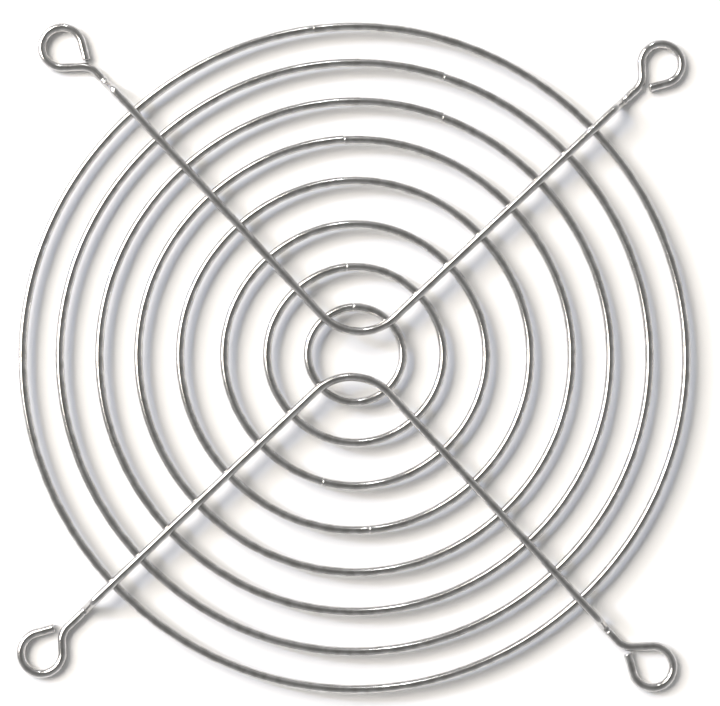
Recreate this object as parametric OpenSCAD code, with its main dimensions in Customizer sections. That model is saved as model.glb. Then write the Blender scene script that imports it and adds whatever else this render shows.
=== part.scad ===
// Wire finger guard for a 120 mm square axial fan.
//
// Eight round wire rings lie in one plane, one inside the other. Two spoke wires
// cross over them and are resistance-welded to every ring. Each spoke wire is one
// length of wire: a V with a rounded vertex near the centre and two long arms on
// the diagonals. Outside the outer ring each arm steps down to the mounting face,
// necks aside and closes into an eyelet for one screw of the fan.
//
// Frame: the origin is the centre of the hole pattern, on the face that the four
// eyelets rest on. +Z points away from the fan.

/* [Hole pattern] */
// Distance between neighbouring screw holes, the same both ways
hole_spacing = 105; // [101:0.5:109]

/* [Wire] */
// Diameter of the wire of the rings
ring_wire_d = 1.5; // [1.2:0.05:1.9]
// Diameter of the wire of the spokes
spoke_wire_d = 1.5; // [1.2:0.05:1.9]
// Free height under the rings, above the mounting face
ring_lift = 1.15; // [0.8:0.05:3]
// How far each weld lets the spoke sink into the ring
weld_set_down = 0.25; // [0.1:0.05:0.4]

/* [Rings] */
// Radius of the innermost ring, to the middle of its wire
inner_ring_r = 8.2; // [7.2:0.1:9.5]
// Step from ring 1 to ring 2, from middle to middle of the wire
step_1_2 = 7; // [5.5:0.1:8.5]
// Step from ring 2 to ring 3
step_2_3 = 7.4; // [5.5:0.1:8.5]
// Step from ring 3 to ring 4
step_3_4 = 7.6; // [5.5:0.1:8.5]
// Step from ring 4 to ring 5
step_4_5 = 7.2; // [5.5:0.1:8.5]
// Step from ring 5 to ring 6
step_5_6 = 6.7; // [5.5:0.1:8.5]
// Step from ring 6 to ring 7
step_6_7 = 6.8; // [5.5:0.1:8.5]
// Step from ring 7 to ring 8, the outer ring
step_7_8 = 6.4; // [5.5:0.1:8.5]

/* [Ring seams] */
// Width of the groove where the two ends of a ring's wire meet
seam_w = 0.3; // [0.1:0.05:0.6]
// Depth of that groove
seam_depth = 0.18; // [0.05:0.01:0.3]

/* [Vee of a spoke] */
// Angle between the two arms of a spoke wire
vee_angle = 89.2; // [86:0.1:92]
// Turn of the vee about the vertical
vee_turn = -0.5; // [-2:0.1:2]
// Sideways place of the point where the two arms would meet
vee_x = 0.25; // [-1:0.05:1]
// Distance of that point from the middle of the guard
vee_y = 0.15; // [-1:0.05:1]
// Radius of the rounded vertex, to the middle of the wire
vee_bend_r = 8.9; // [6:0.1:11]

/* [Step down to the mounting face] */
// Distance from a hole's centre to the foot of the step, on the rear spoke
rear_step_foot = 9.3; // [8.8:0.1:11]
// The same distance on the front spoke
front_step_foot = 10.1; // [8.8:0.1:11]
// Slope of the step
step_angle = 50; // [35:1:60]
// Radius of the step's two bends, to the middle of the wire
step_bend_r = 1.5; // [1.1:0.1:1.8]

/* [Bends] */
// How much bending draws the wire down, taken off its radius
bend_thinning = 0.015; // [0.01:0.005:0.03]

/* [Forming mark] */
// Width of the groove that the bending tool leaves at the foot of the step
mark_w = 0.4; // [0.2:0.05:0.8]
// Depth of that groove
mark_depth = 0.12; // [0.05:0.01:0.25]

/* [Eyelet] */
// Inner diameter of the eyelet
eyelet_d = 5.6; // [4.6:0.1:6.2]
// Radius of the bend at the neck, to the middle of the wire
neck_bend_r = 3.5; // [2.5:0.1:4]
// How far the neck turns aside before the loop turns back
neck_turn = 50; // [46:1:56]
// How far the wire turns round the loop
loop_turn = 258; // [245:1:264]
// Length of the straight end that closes the loop
tail_len = 3.2; // [2:0.1:3.3]

/* [Hidden] */
// Full rounds are drawn with many sides; they carry over as true curves.
$fn = 96;

RING_COLOUR = "silver";
SPOKE_COLOUR = "gainsboro";

ring_wire_r = ring_wire_d / 2;
spoke_wire_r = spoke_wire_d / 2;

// Ring radii, from the inside out: each is the one before plus its own step.
ring_steps = [inner_ring_r, step_1_2, step_2_3, step_3_4, step_4_5, step_5_6, step_6_7, step_7_8];
function ring_radius(i) = i == 0 ? ring_steps[0] : ring_radius(i - 1) + ring_steps[i];
// Where the ends of each ring's wire meet, counter-clockwise from +X.
seam_at = [94, 97, -103, -84, 94, 71, 74, 99];

// Heights of the wires' middles above the mounting face.
ring_z = ring_lift + ring_wire_r;
spoke_z = ring_z + ring_wire_r + spoke_wire_r - weld_set_down;
eyelet_z = spoke_wire_r;

// The step: two equal bends with a straight slope between them.
step_drop = spoke_z - eyelet_z;
step_slope = (step_drop - 2 * step_bend_r * (1 - cos(step_angle))) / sin(step_angle);
step_run = 2 * step_bend_r * sin(step_angle) + step_slope * cos(step_angle);

// The vee: its vertex turns the wire by vee_bend and touches each arm at
// vee_tangent from where the two arms would meet.
vee_bend = 180 - vee_angle;
vee_tangent = vee_bend_r * tan(vee_bend / 2);

// How far the wire of a bend reaches into the straights on both sides of it.
bend_reach = 0.05;

// The loop runs at this radius, and the neck reaches its start from the arm's line.
loop_r = (eyelet_d + spoke_wire_d) / 2;

// A hole's place as seen from the start of the arm with this heading in the vee:
// how far along the arm, and how far to its left.
half_spacing = hole_spacing / 2;
function turned(p, a) = [p[0] * cos(a) + p[1] * sin(a), p[1] * cos(a) - p[0] * sin(a)];
function seen_from_arm(hole, heading) =
    turned(hole - [vee_x, vee_y], heading + vee_turn) - [vee_tangent, 0];

// Straight wire between the neck's bend and the loop, which brings the loop's
// middle over the hole, and how far before the hole the neck's bend starts.
function neck_straight(aside) =
    (aside - neck_bend_r * (1 - cos(neck_turn)) + loop_r * cos(neck_turn)) / sin(neck_turn);
function neck_reach(aside) =
    (neck_bend_r + loop_r) * sin(neck_turn) + neck_straight(aside) * cos(neck_turn);

// --- Wire forms. Each draws one length of wire from the origin along +X, and puts
// --- its children at that length's far end, facing the way the wire goes on.

// A straight length of spoke wire. The half turn lays its surface's seam on top,
// away from the saddles.
module straight(len) {
    rotate([180, -90, 0]) cylinder(r = spoke_wire_r, h = len);
    translate([len, 0, 0]) children();
}

// A straight length with the forming tool's groove round it, just clear of the bend
// before it.
module marked_straight(len) {
    mark_start = 3 * bend_reach;
    rotate([0, 90, 0])
        rotate_extrude()
            polygon([[0, 0], [spoke_wire_r, 0], [spoke_wire_r, mark_start],
                     [spoke_wire_r - mark_depth, mark_start + mark_w / 2],
                     [spoke_wire_r, mark_start + mark_w], [spoke_wire_r, len], [0, len]]);
    translate([len, 0, 0]) children();
}

// A bend to the left in the level plane.
module bend_left(r, turn) {
    translate([0, r, 0]) {
        rotate([0, 0, -90]) bend(r, turn);
        rotate([0, 0, turn]) translate([0, -r, 0]) children();
    }
}

// A bend to the right in the level plane.
module bend_right(r, turn) {
    translate([0, -r, 0]) {
        rotate([0, 0, 90 - turn]) bend(r, turn);
        rotate([0, 0, -turn]) translate([0, r, 0]) children();
    }
}

// The wire of a bend, counter-clockwise from +X. It is drawn down a little, and
// reaches into the straights at its two ends.
module bend(r, turn) {
    reach = bend_reach / r * 180 / PI;
    rotate([0, 0, -reach]) arc_of_wire(r, turn + 2 * reach, spoke_wire_r - bend_thinning);
}

// A piece of torus, counter-clockwise from +X.
module arc_of_wire(r, turn, wire_r) {
    rotate_extrude(angle = turn) translate([r, 0]) circle(r = wire_r);
}

// Bends up and down: the same bends with their plane stood upright.
module bend_up(r, turn) {
    rotate([90, 0, 0]) bend_left(r, turn) rotate([-90, 0, 0]) children();
}

module bend_down(r, turn) {
    rotate([90, 0, 0]) bend_right(r, turn) rotate([-90, 0, 0]) children();
}

// --- Pieces

// The full round of one ring's wire, at its height.
module ring_round(i) {
    translate([0, 0, ring_z])
        rotate_extrude() translate([ring_radius(i), 0]) circle(r = ring_wire_r);
}

// One ring: the wire goes round to its own start, and a groove marks where its two
// ends meet. The core of the groove reaches into the wire on both sides of it.
module ring(i) {
    groove_turn = seam_w / ring_radius(i) * 180 / PI;
    color(RING_COLOUR)
        translate([0, 0, ring_z])
        rotate([0, 0, seam_at[i] + groove_turn / 2]) {
            arc_of_wire(ring_radius(i), 360 - groove_turn, ring_wire_r);
            rotate([0, 0, -1.5 * groove_turn])
                arc_of_wire(ring_radius(i), 2 * groove_turn, ring_wire_r - seam_depth);
        }
}

// One arm, from the vertex to the end of the wire: level run, step down to the
// mounting face, neck, loop round the hole and straight end.
module arm(hole, step_foot) {
    foot = hole[0] - step_foot;
    neck_start = hole[0] - neck_reach(hole[1]);
    straight(foot - step_run)
        bend_down(step_bend_r, step_angle)
        straight(step_slope)
        bend_up(step_bend_r, step_angle)
        marked_straight(neck_start - foot)
        bend_left(neck_bend_r, neck_turn)
        straight(neck_straight(hole[1]))
        bend_right(loop_r, loop_turn)
        straight(tail_len);
}

// The whole spoke wire, laid towards +Y, before the rings are pressed into it.
module spoke_round(step_foot) {
    right_heading = 90 - vee_angle / 2;
    left_heading = 90 + vee_angle / 2;
    translate([vee_x, vee_y, spoke_z]) rotate([0, 0, vee_turn]) {
        translate([0, vee_bend_r / cos(vee_bend / 2), 0])
            rotate([0, 0, -90 - vee_bend / 2]) bend(vee_bend_r, vee_bend);
        rotate([0, 0, right_heading]) translate([vee_tangent, 0, 0])
            arm(seen_from_arm([half_spacing, half_spacing], right_heading), step_foot);
        rotate([0, 0, left_heading]) translate([vee_tangent, 0, 0])
            arm(seen_from_arm([-half_spacing, half_spacing], left_heading), step_foot);
    }
}

// A spoke wire with a saddle where it is welded to each ring.
module spoke(step_foot) {
    color(SPOKE_COLOUR)
        difference() {
            spoke_round(step_foot);
            for (i = [0 : len(ring_steps) - 1]) ring_round(i);
        }
}

ring(0);  // ring_1
ring(1);  // ring_2
ring(2);  // ring_3
ring(3);  // ring_4
ring(4);  // ring_5
ring(5);  // ring_6
ring(6);  // ring_7
ring(7);  // ring_8
spoke(rear_step_foot);  // rear_spoke
rotate([0, 0, 180]) spoke(front_step_foot);  // front_spoke
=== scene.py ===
"""Dresses the wire fan guard: its rings, spoke wires and welds, and the light table it lies on.

Every length is in metres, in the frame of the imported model. Angles are in degrees,
counter-clockwise from +X, and a piece's "wire" is the radius of its wire.
"""

import logging
import math
import random
from dataclasses import dataclass, field
from enum import Enum
from typing import Any, Callable, Iterable, Sequence

import bmesh
import bpy
from mathutils import Matrix, Vector


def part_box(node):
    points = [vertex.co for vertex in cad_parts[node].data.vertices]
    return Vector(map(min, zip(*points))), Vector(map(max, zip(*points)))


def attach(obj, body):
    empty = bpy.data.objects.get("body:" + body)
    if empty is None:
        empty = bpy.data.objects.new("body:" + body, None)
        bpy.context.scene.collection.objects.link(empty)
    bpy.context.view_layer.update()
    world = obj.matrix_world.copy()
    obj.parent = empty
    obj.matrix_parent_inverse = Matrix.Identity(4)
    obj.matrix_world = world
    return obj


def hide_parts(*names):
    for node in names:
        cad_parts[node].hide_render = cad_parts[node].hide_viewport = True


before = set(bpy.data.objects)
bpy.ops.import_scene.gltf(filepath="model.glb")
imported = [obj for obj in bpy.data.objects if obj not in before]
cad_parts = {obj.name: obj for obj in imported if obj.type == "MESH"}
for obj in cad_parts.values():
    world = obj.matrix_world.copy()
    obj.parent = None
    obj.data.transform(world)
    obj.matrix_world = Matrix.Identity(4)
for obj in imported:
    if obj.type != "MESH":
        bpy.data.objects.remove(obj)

MM = 0.001
LOG = logging.getLogger("wire_fan_guard")

# The mesh attribute that holds each vertex's place on the straightened wire.
SPOT = "wire_place"
# Vertices that lie closer together than this become one.
MERGE_DISTANCE = 0.0004 * MM

# Short lengths of wire, each with the girth at its end as a share of the wire's own.
CUT_END = ((0.04 * MM, 0.985), (0.03 * MM, 0.93), (0.006 * MM, 0.8))
FORMING_MARK = ((0.12 * MM, 1.0), (0.05 * MM, 1.015), (0.07 * MM, 0.93), (0.09 * MM, 0.86),
                (0.1 * MM, 0.87), (0.09 * MM, 0.95), (0.06 * MM, 1.012), (0.1 * MM, 1.0))
SEAM_GIRTH = 0.86
SEAM_HALF = ((0.05 * MM, 0.9), (0.06 * MM, 0.99), (0.06 * MM, 1.03), (0.12 * MM, 1.02),
             (0.15 * MM, 1.0))


def length_of(profile: Sequence[tuple[float, float]]) -> float:
    """Adds up how much wire a profile takes.

    Args:
        profile: Lengths and the girths at their ends.

    Returns:
        The profile's whole length.
    """
    return sum(length for length, _ in profile)


# --- Shader graphs ---------------------------------------------------------


class Signal:
    """A shader socket that takes part in Python arithmetic."""

    def __init__(self, graph: "Graph", socket: bpy.types.NodeSocket) -> None:
        """Wraps one output socket of a graph."""
        self.graph = graph
        self.socket = socket

    def _math(self, operation: str, *terms: Any) -> "Signal":
        """Adds one Math node.

        Args:
            operation: What the node works out.
            terms: Numbers or signals, in the order of its sockets.

        Returns:
            The result.
        """
        return self.graph.node("ShaderNodeMath", {"operation": operation}, dict(enumerate(terms)))

    def __add__(self, other: Any) -> "Signal":
        """Sum."""
        return self._math("ADD", self, other)

    __radd__ = __add__

    def __sub__(self, other: Any) -> "Signal":
        """Difference."""
        return self._math("SUBTRACT", self, other)

    def __rsub__(self, other: Any) -> "Signal":
        """Difference, with this signal taken from a number."""
        return self._math("SUBTRACT", other, self)

    def __mul__(self, other: Any) -> "Signal":
        """Product."""
        return self._math("MULTIPLY", self, other)

    __rmul__ = __mul__

    def between(self, low: float, high: float) -> "Signal":
        """Runs smoothly from 0 at low to 1 at high.

        Args:
            low: The value that gives 0.
            high: The value that gives 1.

        Returns:
            The new signal.
        """
        settings = {"interpolation_type": "SMOOTHSTEP"}
        return self.graph.node("ShaderNodeMapRange", settings, {0: self, 1: low, 2: high})

    def scaled(self, factors: Sequence[float]) -> "Signal":
        """Multiplies a vector by three factors.

        Args:
            factors: The factors of X, Y and Z.

        Returns:
            The scaled vector.
        """
        settings = {"operation": "MULTIPLY"}
        return self.graph.node("ShaderNodeVectorMath", settings, {0: self, 1: tuple(factors)})


class Graph:
    """The node tree of one material, lamp or sky."""

    def __init__(self, tree: bpy.types.NodeTree) -> None:
        """Empties the tree and starts from nothing."""
        self.tree = tree
        tree.nodes.clear()

    def node(self, kind: str, settings: dict[str, Any] | None = None,
             inputs: dict[Any, Any] | None = None, output: Any = 0) -> Signal:
        """Adds a node.

        Args:
            kind: The node's type.
            settings: Properties to set before the sockets are filled; "stops" fills a ramp.
            inputs: Values or signals by socket name or number.
            output: Which output socket to hand back.

        Returns:
            The chosen output.
        """
        made = self.tree.nodes.new(kind)
        for name, value in (settings or {}).items():
            if name == "stops":
                self._fill_ramp(made.color_ramp, value)
            else:
                setattr(made, name, value)
        for name, value in (inputs or {}).items():
            if isinstance(value, Signal):
                self.tree.links.new(value.socket, made.inputs[name])
            else:
                made.inputs[name].default_value = value
        return Signal(self, made.outputs[output]) if len(made.outputs) else Signal(self, made.inputs[0])

    @staticmethod
    def _fill_ramp(ramp: bpy.types.ColorRamp, stops: Sequence[tuple[float, tuple]]) -> None:
        """Gives a colour ramp its stops.

        Args:
            ramp: The new ramp.
            stops: Places and colours, from first to last.
        """
        while len(ramp.elements) < len(stops):
            ramp.elements.new(1.0)
        for element, (place, colour) in zip(ramp.elements, stops):
            element.position = place
            element.color = (*colour, 1.0)

    def noise(self, place: Signal, scale: float, detail: float = 2.0) -> Signal:
        """Adds soft noise between 0 and 1.

        Args:
            place: Where the noise is read.
            scale: How fine it is.
            detail: How many finer layers it has.

        Returns:
            The noise.
        """
        return self.node("ShaderNodeTexNoise", {}, {"Vector": place, "Scale": scale, "Detail": detail})

    def mix(self, amount: Signal, first: Any, second: Any) -> Signal:
        """Mixes two colours.

        Args:
            amount: The share of the second colour.
            first: The colour at 0.
            second: The colour at 1.

        Returns:
            The mixed colour.
        """
        settings = {"data_type": "RGBA", "blend_type": "MIX"}
        return self.node("ShaderNodeMix", settings, {0: amount, 6: first, 7: second}, output=2)


def rgb(red: float, green: float, blue: float) -> tuple[float, float, float, float]:
    """A plain colour with its alpha."""
    return (red, green, blue, 1.0)


# --- Finishes --------------------------------------------------------------


@dataclass(frozen=True)
class PlatedWire:
    """Bright plating over drawn steel wire.

    The pattern lies on the straightened wire: X runs along it, Y and Z across it.
    """

    name: str
    bright: tuple[float, float, float]
    dull: tuple[float, float, float]
    polish: float = 0.09
    haze: float = 0.10
    draw_lines: float = 0.10
    grit: float = 0.10
    nodules: float = 0.22
    relief: float = 0.03 * MM

    def make(self) -> bpy.types.Material:
        """Builds the material.

        Returns:
            The material, ready to go on a wire.
        """
        material = bpy.data.materials.new(self.name)
        material.use_nodes = True
        g = Graph(material.node_tree)
        place = g.node("ShaderNodeAttribute", {"attribute_name": SPOT}, {}, output="Vector")
        in_mm = place.scaled((1000.0, 1000.0, 1000.0))
        cloud = g.noise(in_mm, 0.55, 3.0)
        lines = g.noise(in_mm.scaled((0.12, 1.0, 1.0)), 6.5)
        grit = g.noise(in_mm, 5.0)
        cells = g.node("ShaderNodeTexVoronoi", {"feature": "F1"}, {"Vector": in_mm, "Scale": 1.25})
        bare = g.noise(in_mm, 0.22, 1.0).between(0.5, 0.62)
        bump_dots = (1.0 - cells.between(0.03, 0.13)) * bare
        colour = g.mix(cloud.between(0.35, 0.68), rgb(*self.bright), rgb(*self.dull))
        rough = self.polish + self.haze * cloud.between(0.3, 0.75) + 0.06 * lines + 0.10 * bump_dots
        height = self.draw_lines * lines + self.grit * grit + self.nodules * bump_dots
        bump = g.node("ShaderNodeBump", {}, {
            "Strength": 0.5, "Distance": self.relief, "Height": height})
        shader = g.node("ShaderNodeBsdfPrincipled", {}, {
            "Base Color": colour, "Metallic": 1.0, "Roughness": rough, "Normal": bump})
        g.node("ShaderNodeOutputMaterial", {}, {"Surface": shader})
        material.diffuse_color = rgb(*self.bright)
        return material


@dataclass(frozen=True)
class PaleCard:
    """Matt pale card under the guard."""

    name: str = "pale_card"
    colour: tuple[float, float, float] = (0.9, 0.9, 0.9)
    mottle: float = 0.985

    def make(self) -> bpy.types.Material:
        """Builds the material.

        Returns:
            The material, ready to go on the card.
        """
        material = bpy.data.materials.new(self.name)
        material.use_nodes = True
        g = Graph(material.node_tree)
        place = g.node("ShaderNodeTexCoord", {}, {}, output="Object")
        tone = g.noise(place, 9.0)
        shade = (self.mottle * channel for channel in self.colour)
        colour = g.mix(tone, rgb(*self.colour), rgb(*shade))
        shader = g.node("ShaderNodeBsdfPrincipled", {}, {
            "Base Color": colour, "Roughness": 0.9, "Specular IOR Level": 0.1})
        g.node("ShaderNodeOutputMaterial", {}, {"Surface": shader})
        return material


# --- Wire forming ----------------------------------------------------------


class Way(Enum):
    """The way a bend turns, seen along the wire with its top up."""

    LEFT = "left"
    RIGHT = "right"
    UP = "up"
    DOWN = "down"


@dataclass
class WireBender:
    """Feeds round wire and bends it, one length after another, inside a bmesh."""

    bm: bmesh.types.BMesh
    radius: float
    at: Vector
    heading: Vector
    top: Vector = field(default_factory=lambda: Vector((0.0, 0.0, 1.0)))
    sides: int = 28
    fed: float = 0.0

    def __post_init__(self) -> None:
        """Opens the wire with one round of edges."""
        self.spot = self.bm.verts.layers.float_vector.get(SPOT)
        if self.spot is None:
            self.spot = self.bm.verts.layers.float_vector.new(SPOT)
        left = self.top.cross(self.heading)
        turn = Matrix((left, self.top, self.heading)).transposed().to_4x4()
        made = bmesh.ops.create_circle(
            self.bm, cap_ends=False, segments=self.sides, radius=self.radius,
            matrix=Matrix.Translation(self.at) @ turn)
        self.rim: list[bmesh.types.BMVert] = made["verts"]
        self.girth = 1.0
        self._mark()

    def _left(self) -> Vector:
        """The wire's left, level with its top."""
        return self.top.cross(self.heading)

    def _rim_edges(self) -> list[bmesh.types.BMEdge]:
        """The edges of the open end."""
        rim = set(self.rim)
        return list({e for v in self.rim for e in v.link_edges if e.other_vert(v) in rim})

    def _mark(self) -> None:
        """Writes each rim vertex's place on the straightened wire."""
        left = self._left()
        for v in self.rim:
            off = v.co - self.at
            v[self.spot] = Vector((self.fed, off.dot(left), off.dot(self.top)))

    def _extrude(self) -> None:
        """Adds the next round of vertices on top of the open end."""
        made = bmesh.ops.extrude_edge_only(self.bm, edges=self._rim_edges())
        self.rim = [e for e in made["geom"] if isinstance(e, bmesh.types.BMVert)]

    def swell(self, girth: float) -> None:
        """Scales the open end.

        Args:
            girth: Its new girth, as a share of the wire's own.
        """
        if girth != self.girth:
            share = girth / self.girth
            bmesh.ops.scale(self.bm, vec=(share,) * 3, space=Matrix.Translation(-self.at),
                            verts=self.rim)
            self.girth = girth

    def straight(self, length: float, steps: int = 1, girth: float = 1.0) -> "WireBender":
        """Feeds a straight length.

        Args:
            length: How much wire is fed.
            steps: How many rounds of vertices it gets.
            girth: The girth at its end, as a share of the wire's own.

        Returns:
            This bender.
        """
        start = self.girth
        for step in range(steps):
            self._extrude()
            move = self.heading * (length / steps)
            bmesh.ops.translate(self.bm, vec=move, verts=self.rim)
            self.at = self.at + move
            self.fed += length / steps
            self.swell(start + (girth - start) * (step + 1) / steps)
            self._mark()
        return self

    def profile(self, stops: Iterable[tuple[float, float]]) -> "WireBender":
        """Feeds short straight lengths.

        Args:
            stops: Each length, and the girth at its end.

        Returns:
            This bender.
        """
        for length, girth in stops:
            self.straight(length, 1, girth)
        return self

    def bend(self, way: Way, radius: float, degrees: float, steps: int,
             girth: Callable[[float], float] | None = None) -> "WireBender":
        """Bends the wire round a former.

        Args:
            way: The way the bend turns.
            radius: The bend's radius, to the middle of the wire.
            degrees: How far it turns.
            steps: How many rounds of vertices it gets.
            girth: Gives the girth from the share of the bend that is done.

        Returns:
            This bender.
        """
        left = self._left()
        side, axis = {
            Way.LEFT: (left, self.top), Way.RIGHT: (-left, -self.top),
            Way.UP: (self.top, -left), Way.DOWN: (-self.top, left)}[way]
        centre = self.at + side * radius
        step_turn = Matrix.Rotation(math.radians(degrees) / steps, 3, axis)
        for step in range(steps):
            self._extrude()
            bmesh.ops.rotate(self.bm, cent=centre, matrix=step_turn, verts=self.rim)
            self.at = centre + step_turn @ (self.at - centre)
            self.heading = (step_turn @ self.heading).normalized()
            self.top = (step_turn @ self.top).normalized()
            self.fed += radius * math.radians(degrees) / steps
            if girth:
                self.swell(girth((step + 1) / steps))
            self._mark()
        return self

    def cut_off(self) -> None:
        """Ends the wire with a cut whose rim is a little rounded."""
        self.profile(CUT_END)
        bmesh.ops.contextual_create(self.bm, geom=self._rim_edges())


def finish_piece(bm: bmesh.types.BMesh, name: str, finish: bpy.types.Material,
                 replaces: Sequence[str] = ()) -> bpy.types.Object:
    """Turns a bmesh into a dressed piece that rides on the guard.

    Args:
        bm: The finished shape; it is freed.
        name: The piece's name.
        finish: Its material.
        replaces: The solids that the piece stands for.

    Returns:
        The new object.
    """
    bmesh.ops.remove_doubles(bm, verts=bm.verts[:], dist=MERGE_DISTANCE)
    bmesh.ops.recalc_face_normals(bm, faces=bm.faces[:])
    for face in bm.faces:
        face.smooth = len(face.verts) <= 4
    mesh = bpy.data.meshes.new(name)
    bm.to_mesh(mesh)
    bm.free()
    mesh.materials.append(finish)
    piece = bpy.data.objects.new(name, mesh)
    bpy.context.scene.collection.objects.link(piece)
    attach(piece, "root")
    if replaces:
        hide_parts(*replaces)
    LOG.info("%s: %d faces", name, len(mesh.polygons))
    return piece


# --- The guard's pieces ----------------------------------------------------


@dataclass
class WireRing:
    """One ring, bent round and butt-welded end to end."""

    node: str
    seam_at: float
    jog: float = 0.0
    wire: float = 0.75 * MM
    wave: float = 0.11 * MM
    wave_middle: float = 0.35
    full_wave_radius: float = 25 * MM
    jog_reach: float = 7 * MM
    widest_jog: float = 0.35
    rounds_per_mm: float = 5.5

    def _shape(self, bm: bmesh.types.BMesh, radius: float) -> None:
        """Lets the ring keep the slight squareness that four welds pull into it.

        The jog sets the wire's two ends a little apart, and dies away from the seam.

        Args:
            bm: The ring.
            radius: Its radius, to the middle of the wire.
        """
        seam = math.radians(self.seam_at)
        reach = min(self.widest_jog, self.jog_reach / radius)
        wave = self.wave * min(1.0, radius / self.full_wave_radius)
        for v in bm.verts:
            theta = math.atan2(v.co.y, v.co.x)
            from_seam = (theta - seam + math.pi) % (2 * math.pi) - math.pi
            move = wave * (math.cos(4 * theta) - self.wave_middle)
            fade = math.exp(-abs(from_seam) / reach)
            move += 0.5 * self.jog * math.copysign(fade, from_seam)
            out = Vector((v.co.x, v.co.y, 0.0)).normalized()
            v.co += out * move

    @staticmethod
    def _seam_half(bender: WireBender, radius: float,
                   profile: Sequence[tuple[float, float]]) -> None:
        """Bends one side of the seam, girth by girth.

        Args:
            bender: The ring's wire.
            radius: The ring's radius, to the middle of the wire.
            profile: Short lengths, and the girths at their ends.
        """
        for length, girth in profile:
            turn = math.degrees(length / radius)
            bender.bend(Way.LEFT, radius, turn, 1, lambda _, end=girth: end)

    def build(self, finish: bpy.types.Material) -> bpy.types.Object:
        """Makes the ring.

        Args:
            finish: The wire's material.

        Returns:
            The piece that stands for the ring's solid.
        """
        low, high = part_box(self.node)
        height = (low.z + high.z) / 2
        radius = (high.x - low.x) / 2 - self.wire
        bm = bmesh.new()
        start = math.radians(self.seam_at)
        out = Vector((math.cos(start), math.sin(start), 0.0))
        bender = WireBender(bm, self.wire, out * radius + Vector((0, 0, height)),
                            Vector((-out.y, out.x, 0.0)))
        bender.swell(SEAM_GIRTH)
        self._seam_half(bender, radius, SEAM_HALF)
        turn = 360 - 2 * math.degrees(length_of(SEAM_HALF) / radius)
        steps = max(64, round(radius / MM * self.rounds_per_mm))
        bender.bend(Way.LEFT, radius, turn, steps)
        # Each length of the far half ends at the girth that its twin started from.
        lengths = [length for length, _ in SEAM_HALF]
        girths = [SEAM_GIRTH, *(girth for _, girth in SEAM_HALF[:-1])]
        self._seam_half(bender, radius, list(zip(reversed(lengths), reversed(girths))))
        self._shape(bm, radius)
        return finish_piece(bm, f"{self.node}_wire", finish, (self.node,))


@dataclass
class SpokeWire:
    """One spoke wire: a rounded vee, two level arms, two steps, two necked eyelets."""

    node: str
    turned: bool
    step_foot: float
    wire: float = 0.75 * MM
    half_spacing: float = 52.5 * MM
    level: float = 3.15 * MM
    vee_angle: float = 89.2
    vee_turn: float = -0.5
    vee_x: float = 0.25 * MM
    vee_y: float = 0.15 * MM
    vee_bend: float = 8.9 * MM
    step_angle: float = 50.0
    step_bend: float = 1.5 * MM
    eyelet: float = 3.55 * MM
    neck_bend: float = 3.5 * MM
    neck_turn: float = 50.0
    loop_turn: float = 258.0
    tail: float = 3.2 * MM

    def _hole_from_arm(self, hole: Vector, degrees: float) -> Vector:
        """A hole's place along an arm and to its left, from where the arm starts.

        Args:
            hole: The hole's centre.
            degrees: The arm's heading.

        Returns:
            The distance along, and the distance aside.
        """
        rest = (hole - Vector((self.vee_x, self.vee_y))) @ Matrix.Rotation(
            math.radians(degrees + self.vee_turn), 2)
        half = math.radians(180 - self.vee_angle) / 2
        return Vector((rest.x - self.vee_bend * math.tan(half), rest.y))

    def _arm(self, bender: WireBender, hole: Vector) -> None:
        """Feeds one arm, from the vertex to its cut end.

        Args:
            bender: The wire, at the end of the vertex bend.
            hole: The hole as seen from there.
        """
        drop = self.level - self.wire
        angle, turn = math.radians(self.step_angle), math.radians(self.neck_turn)
        slope = (drop - 2 * self.step_bend * (1 - math.cos(angle))) / math.sin(angle)
        run = 2 * self.step_bend * math.sin(angle) + slope * math.cos(angle)
        cross = (hole.y - self.neck_bend * (1 - math.cos(turn)) + self.eyelet * math.cos(turn))
        cross /= math.sin(turn)
        reach = (self.neck_bend + self.eyelet) * math.sin(turn) + cross * math.cos(turn)
        foot = hole.x - self.step_foot
        bender.straight(foot - run, 60)
        bender.bend(Way.DOWN, self.step_bend, self.step_angle, 10)
        bender.straight(slope, 4)
        bender.bend(Way.UP, self.step_bend, self.step_angle, 10)
        bender.profile(FORMING_MARK)
        bender.straight(hole.x - reach - foot - length_of(FORMING_MARK), 6)
        bender.bend(Way.LEFT, self.neck_bend, self.neck_turn, 14)
        bender.straight(cross, 4)
        bender.bend(Way.RIGHT, self.eyelet, self.loop_turn, 64)
        bender.straight(self.tail - length_of(CUT_END), 8)
        bender.cut_off()

    def build(self, finish: bpy.types.Material) -> bpy.types.Object:
        """Makes the spoke wire.

        Args:
            finish: The wire's material.

        Returns:
            The piece that stands for the spoke's solid.
        """
        bm = bmesh.new()
        half = (180 - self.vee_angle) / 2
        crown = self.vee_bend * (1 / math.cos(math.radians(half)) - 1)
        spin = Matrix.Rotation(math.radians(self.vee_turn), 2)
        start = Vector((self.vee_x, self.vee_y)) + spin @ Vector((0, crown))
        ahead = spin @ Vector((1, 0))
        corner = self.half_spacing
        for sign, way, degrees in ((1, Way.LEFT, 90 - self.vee_angle / 2),
                                   (-1, Way.RIGHT, 90 + self.vee_angle / 2)):
            bender = WireBender(bm, self.wire, Vector((*start, self.level)),
                                Vector((*(sign * ahead), 0.0)))
            bender.bend(way, self.vee_bend, half, 20)
            self._arm(bender, self._hole_from_arm(Vector((sign * corner, corner)), degrees))
        if self.turned:
            bmesh.ops.rotate(bm, cent=(0, 0, 0), matrix=Matrix.Rotation(math.pi, 3, "Z"),
                             verts=bm.verts[:])
        return finish_piece(bm, f"{self.node}_wire", finish, (self.node,))


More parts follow.
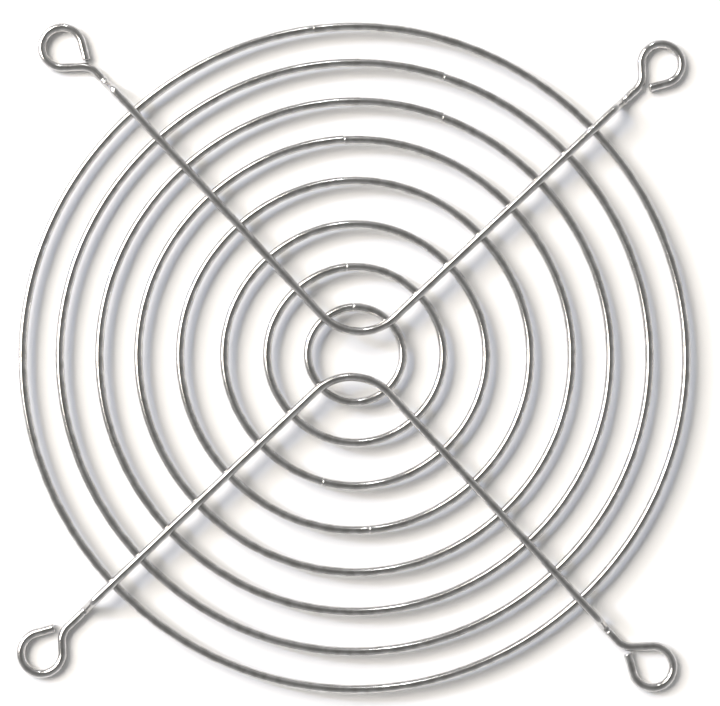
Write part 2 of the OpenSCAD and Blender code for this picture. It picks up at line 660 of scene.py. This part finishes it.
@dataclass
class WeldBeads:
    """The metal that each resistance weld squeezes out between spoke and ring."""

    rings: Sequence[str]
    arm_angles: Sequence[float] = (44.9, 134.0, 224.9, 314.0)
    wire: float = 0.75 * MM
    spread: float = 0.5 * MM
    bead: float = 0.12 * MM
    below_ring_top: float = 0.125 * MM
    flatness: float = 0.8

    def _roll(self, bm: bmesh.types.BMesh, bead: float) -> list[bmesh.types.BMVert]:
        """Rolls one bead round the vertical through the origin.

        Args:
            bm: The mesh that takes it.
            bead: The radius of its section.

        Returns:
            The bead's vertices.
        """
        upright = Matrix.Rotation(math.pi / 2, 4, "X")
        section = bmesh.ops.create_circle(
            bm, cap_ends=False, segments=8, radius=bead,
            matrix=Matrix.Translation((self.spread, 0, 0)) @ upright)
        edges = list({e for v in section["verts"] for e in v.link_edges})
        before = set(bm.verts) - set(section["verts"])
        bmesh.ops.spin(bm, geom=section["verts"] + edges, cent=(0, 0, 0), axis=(0, 0, 1),
                       angle=2 * math.pi, steps=20, use_merge=True)
        return [v for v in bm.verts if v not in before]

    def build(self, finish: bpy.types.Material) -> bpy.types.Object:
        """Makes a bead at each crossing.

        Args:
            finish: The wire's material.

        Returns:
            All the beads as one piece.
        """
        bm = bmesh.new()
        spot = bm.verts.layers.float_vector.new(SPOT)
        dice = random.Random(5)
        for node in self.rings:
            low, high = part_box(node)
            radius = (high.x - low.x) / 2 - self.wire
            for degrees in self.arm_angles:
                angle = math.radians(degrees)
                rolled = self._roll(bm, self.bead * dice.uniform(0.85, 1.15))
                place = Matrix.Translation((radius * math.cos(angle), radius * math.sin(angle),
                                            high.z - self.below_ring_top))
                turn = Matrix.Rotation(angle, 4, "Z")
                flatten = Matrix.Diagonal((1, 1, self.flatness, 1))
                bmesh.ops.transform(bm, matrix=place @ turn @ flatten, verts=rolled)
        for v in bm.verts:
            v[spot] = v.co
        return finish_piece(bm, "weld_beads", finish)


# --- The stage -------------------------------------------------------------


@dataclass(frozen=True)
class Lamp:
    """One soft lamp on the studio's dome."""

    name: str
    azimuth: float
    elevation: float
    distance: float
    width: float
    height: float
    watts: float
    colour: tuple[float, float, float]

    def place(self) -> None:
        """Hangs the lamp and turns it to the middle of the guard."""
        data = bpy.data.lights.new(self.name, "AREA")
        data.shape, data.size, data.size_y = "RECTANGLE", self.width, self.height
        data.energy, data.color = self.watts, self.colour
        lamp = bpy.data.objects.new(self.name, data)
        bpy.context.scene.collection.objects.link(lamp)
        azimuth, up = math.radians(self.azimuth), math.radians(self.elevation)
        out = Vector((math.cos(azimuth) * math.cos(up), math.sin(azimuth) * math.cos(up),
                      math.sin(up)))
        lamp.location = out * self.distance
        lamp.rotation_euler = out.to_track_quat("Z", "Y").to_euler()


@dataclass
class Studio:
    """The card, the sky, the lamps and the camera.

    The lens shows a frame whose width is its distance divided by lens_widths. The eye
    is turned about X, Y and Z, and its offset is measured in its own picture plane.
    """

    card: PaleCard = PaleCard()
    card_reach: float = 2.0
    lamps: Sequence[Lamp] = (
        Lamp("window", 152.0, 41.0, 1.5, 1.35, 0.8, 34.0, (1.0, 0.94, 0.87)),
        Lamp("cool_lamp", 159.0, 26.5, 2.2, 0.16, 0.16, 15.0, (0.45, 0.62, 1.0)),
        Lamp("far_window", 98.0, 40.0, 2.0, 0.1, 0.3, 3.0, (1.0, 1.0, 1.0)),
        Lamp("far_lamp", 117.0, 40.0, 2.0, 0.03, 0.03, 0.6, (1.0, 1.0, 1.0)),
    )
    eye_distance: float = 329.413 * MM
    eye_offset: tuple[float, float] = (-0.8214 * MM, -0.3395 * MM)
    eye_turns: tuple[float, float, float] = (-3.3856, 0.9087, -1.3843)
    eye_base: float = 0.75 * MM
    lens_widths: float = 2.637222
    sensor_width: float = 36.0
    room_tones: Sequence[tuple[float, tuple[float, float, float]]] = (
        (0.0, (0.62, 0.62, 0.63)), (0.35, (0.5, 0.5, 0.5)),
        (0.75, (0.32, 0.32, 0.315)), (1.0, (0.2, 0.198, 0.195)))

    def lay_card(self) -> None:
        """Lays the pale card that the guard lies on."""
        bm = bmesh.new()
        bmesh.ops.create_grid(bm, x_segments=8, y_segments=8, size=self.card_reach)
        mesh = bpy.data.meshes.new("card")
        bm.to_mesh(mesh)
        bm.free()
        mesh.materials.append(self.card.make())
        card = bpy.data.objects.new("card", mesh)
        bpy.context.scene.collection.objects.link(card)

    def raise_sky(self) -> None:
        """Makes the dim room round the card: darker overhead, lighter low down."""
        world = bpy.data.worlds.new("room")
        bpy.context.scene.world = world
        world.use_nodes = True
        g = Graph(world.node_tree)
        direction = g.node("ShaderNodeTexCoord", {}, {}, output="Generated")
        height = g.node("ShaderNodeSeparateXYZ", {}, {0: direction}, output=2)
        tone = g.node("ShaderNodeValToRGB", {"stops": self.room_tones}, {0: height})
        sky = g.node("ShaderNodeBackground", {}, {"Color": tone, "Strength": 1.0})
        g.node("ShaderNodeOutputWorld", {}, {"Surface": sky})

    def set_camera(self) -> None:
        """Stands the camera over the guard."""
        rx, ry, rz = (math.radians(a) for a in self.eye_turns)
        turn = (Matrix.Rotation(rx, 3, "X") @ Matrix.Rotation(ry, 3, "Y")
                @ Matrix.Rotation(rz, 3, "Z"))
        back = turn.transposed()
        eye = back @ Vector((-self.eye_offset[0], -self.eye_offset[1], self.eye_distance))
        data = bpy.data.cameras.new("camera")
        data.sensor_fit, data.sensor_width = "HORIZONTAL", self.sensor_width
        data.lens = self.sensor_width * self.lens_widths
        data.clip_start, data.clip_end = 0.01, 20.0
        camera = bpy.data.objects.new("camera", data)
        bpy.context.scene.collection.objects.link(camera)
        stand = Matrix.Translation(eye + Vector((0, 0, self.eye_base)))
        camera.matrix_world = stand @ back.to_4x4()
        bpy.context.scene.camera = camera

    def build(self) -> None:
        """Sets the whole stage."""
        self.lay_card()
        self.raise_sky()
        for lamp in self.lamps:
            lamp.place()
        self.set_camera()
        bpy.context.scene.view_settings.view_transform = "Standard"


# --- The whole guard -------------------------------------------------------


@dataclass
class FanGuard:
    """Eight rings welded under two spoke wires."""

    rings: Sequence[WireRing] = (
        WireRing("ring_1", 94.0), WireRing("ring_2", 97.0), WireRing("ring_3", -103.0),
        WireRing("ring_4", -84.0), WireRing("ring_5", 94.4, 0.12 * MM),
        WireRing("ring_6", 71.25, 0.14 * MM), WireRing("ring_7", 73.75, 0.12 * MM),
        WireRing("ring_8", 98.75))
    spokes: Sequence[SpokeWire] = (
        SpokeWire("rear_spoke", False, 9.3 * MM), SpokeWire("front_spoke", True, 10.1 * MM))
    ring_finish: PlatedWire = PlatedWire(
        "plated_ring_wire", (0.68, 0.67, 0.66), (0.5, 0.49, 0.475))
    spoke_finish: PlatedWire = PlatedWire(
        "plated_spoke_wire", (0.69, 0.68, 0.67), (0.5, 0.49, 0.48))

    def build(self) -> None:
        """Makes every piece, from the rings up."""
        ring_wire = self.ring_finish.make()
        spoke_wire = self.spoke_finish.make()
        for ring in self.rings:
            ring.build(ring_wire)
        for spoke in self.spokes:
            spoke.build(spoke_wire)
        WeldBeads([ring.node for ring in self.rings]).build(spoke_wire)


def main() -> None:
    """Builds the guard on its stage."""
    logging.basicConfig(level=logging.INFO, format="%(name)s: %(message)s")
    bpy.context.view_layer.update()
    Studio().build()
    FanGuard().build()


if __name__ == "__main__":
    main()
